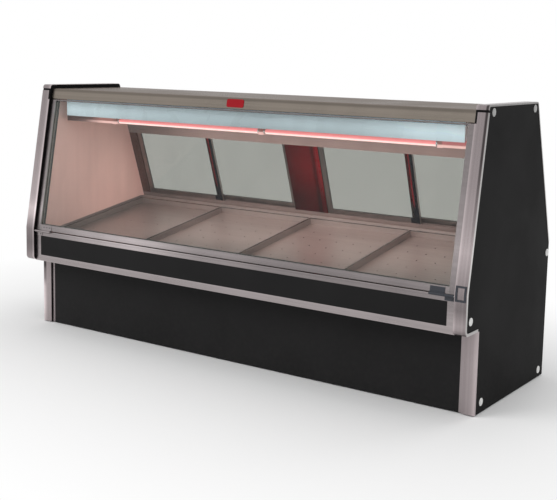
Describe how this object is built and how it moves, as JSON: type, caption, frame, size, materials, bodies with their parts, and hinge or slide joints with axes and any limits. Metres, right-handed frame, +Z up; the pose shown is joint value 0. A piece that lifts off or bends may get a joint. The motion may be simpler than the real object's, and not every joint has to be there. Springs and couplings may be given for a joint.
{
  "type": "fish display case",
  "caption": "Long refrigerated display case with a leaning glass front that tilts open, lit canopy, lift-out pans and sliding rear doors over a recessed base.",
  "frame": {"origin": "on the floor, under the middle of the case's bounding box", "axes": "+X along the case to the right as seen by a customer, +Y from the glass front to the rear, +Z up"},
  "size_m": [2.505, 0.867, 1.265],
  "materials": {
    "black_panel": "satin black",
    "stainless_trim": "brushed",
    "stainless_inside": "brushed",
    "post_steel": "brushed dark",
    "cap_grey": "smooth",
    "badge_red": "gloss",
    "lamp_white": "gloss white",
    "lamp_glow": "lit",
    "socket_dark": "smooth",
    "ballast_black": "satin",
    "clear_glass": "clear",
    "gasket_black": "matte",
    "hinge_dark": "satin",
    "pin_steel": "polished",
    "door_metal": "anodised",
    "galvanised": "galvanised",
    "foot_steel": "plated",
    "foam": "foam",
    "rear_black": "satin black",
    "fin_aluminium": "mill",
    "copper": "drawn",
    "drain_plastic": "smooth",
    "machine_black": "gloss black",
    "control_grey": "satin",
    "black_plastic": "gloss"
  },
  "bodies": {
    "cabinet": {"badge_plate": "badge_red", "base_front_panel": "black_panel", "base_front_trims": "stainless_trim", "base_legs": "galvanised", "base_rails": "galvanised", "bolt_caps": "cap_grey", "canopy_top": "stainless_trim", "centre_mullion": "post_steel", "compressor": "machine_black", "condenser_coil": "fin_aluminium", "control_box": "control_grey", "cord_gland": "black_plastic", "deck_supports": "stainless_inside", "door_jambs": "post_steel", "door_tracks": "door_metal", "drain_pipe": "drain_plastic", "drain_strainer": "stainless_inside", "evaporator_coil": "fin_aluminium", "fan_motor": "machine_black", "fan_shroud": "galvanised", "foam_insulation": "foam", "front_edge_trims": "stainless_trim", "hinge_brackets": "hinge_dark", "hinge_pins": "pin_steel", "inner_end_walls": "stainless_inside", "lamp_ballast": "ballast_black", "lamp_sockets": "socket_dark", "lamp_tubes": "lamp_glow", "left_end_panel": "black_panel", "levelling_feet": "foot_steel", "light_housing": "lamp_white", "nose_fascia": "stainless_trim", "nose_insert": "black_panel", "rear_edge_trims": "stainless_trim", "rear_header": "stainless_inside", "rear_louvre_panel": "rear_black", "refrigerant_lines": "copper", "right_end_panel": "black_panel", "tank_liner": "stainless_inside", "tub_shell": "galvanised", "unit_tray": "galvanised"},
    "tilting_glass": {"front_glass": "clear_glass", "glass_frame": "stainless_trim", "glass_gasket": "gasket_black", "hinge_leaves": "hinge_dark"},
    "rear_door_1": {"door_1_frame": "door_metal", "door_1_glass": "clear_glass"},
    "rear_door_2": {"door_2_frame": "door_metal", "door_2_glass": "clear_glass"},
    "rear_door_3": {"door_3_frame": "door_metal", "door_3_glass": "clear_glass"},
    "rear_door_4": {"door_4_frame": "door_metal", "door_4_glass": "clear_glass"},
    "condenser_fan": {"fan_blade": "fin_aluminium"},
    "thermostat": {"thermostat_knob": "black_plastic"},
    "light_switch": {"switch_rocker": "black_plastic"},
    "pan_1": {"deck_pan_1": "stainless_inside"},
    "pan_2": {"deck_pan_2": "stainless_inside"},
    "pan_3": {"deck_pan_3": "stainless_inside"},
    "pan_4": {"deck_pan_4": "stainless_inside"}
  },
  "joints": [
    {"name": "glass_tilt", "type": "hinge", "parent": "cabinet", "child": "tilting_glass", "pos_m": [0, -0.423, 0.513], "axis": [1, 0, 0], "range_deg": [0, 50]},
    {"name": "door_1_slide", "type": "slide", "parent": "cabinet", "child": "rear_door_1", "axis": [1, 0, 0], "range_m": [0, 0.476]},
    {"name": "door_2_slide", "type": "slide", "parent": "cabinet", "child": "rear_door_2", "axis": [1, 0, 0], "range_m": [-0.476, 0]},
    {"name": "door_3_slide", "type": "slide", "parent": "cabinet", "child": "rear_door_3", "axis": [1, 0, 0], "range_m": [0, 0.476]},
    {"name": "door_4_slide", "type": "slide", "parent": "cabinet", "child": "rear_door_4", "axis": [1, 0, 0], "range_m": [-0.476, 0]},
    {"name": "fan_spin", "type": "hinge", "parent": "cabinet", "child": "condenser_fan", "pos_m": [0.62, 0.27875, 0.2015], "axis": [0, 1, 0], "continuous": true},
    {"name": "thermostat_turn", "type": "hinge", "parent": "cabinet", "child": "thermostat", "pos_m": [-0.935, 0.4214, 0.225], "axis": [0, 1, 0], "range_deg": [-300, 0]},
    {"name": "switch_rock", "type": "hinge", "parent": "cabinet", "child": "light_switch", "pos_m": [-0.825, 0.418, 0.225], "axis": [1, 0, 0], "range_deg": [-20, 0]},
    {"name": "pan_1_lift", "type": "slide", "parent": "cabinet", "child": "pan_1", "axis": [0, 0, 1], "range_m": [0, 0.06]},
    {"name": "pan_2_lift", "type": "slide", "parent": "cabinet", "child": "pan_2", "axis": [0, 0, 1], "range_m": [0, 0.06]},
    {"name": "pan_3_lift", "type": "slide", "parent": "cabinet", "child": "pan_3", "axis": [0, 0, 1], "range_m": [0, 0.06]},
    {"name": "pan_4_lift", "type": "slide", "parent": "cabinet", "child": "pan_4", "axis": [0, 0, 1], "range_m": [0, 0.06]}
  ]
}
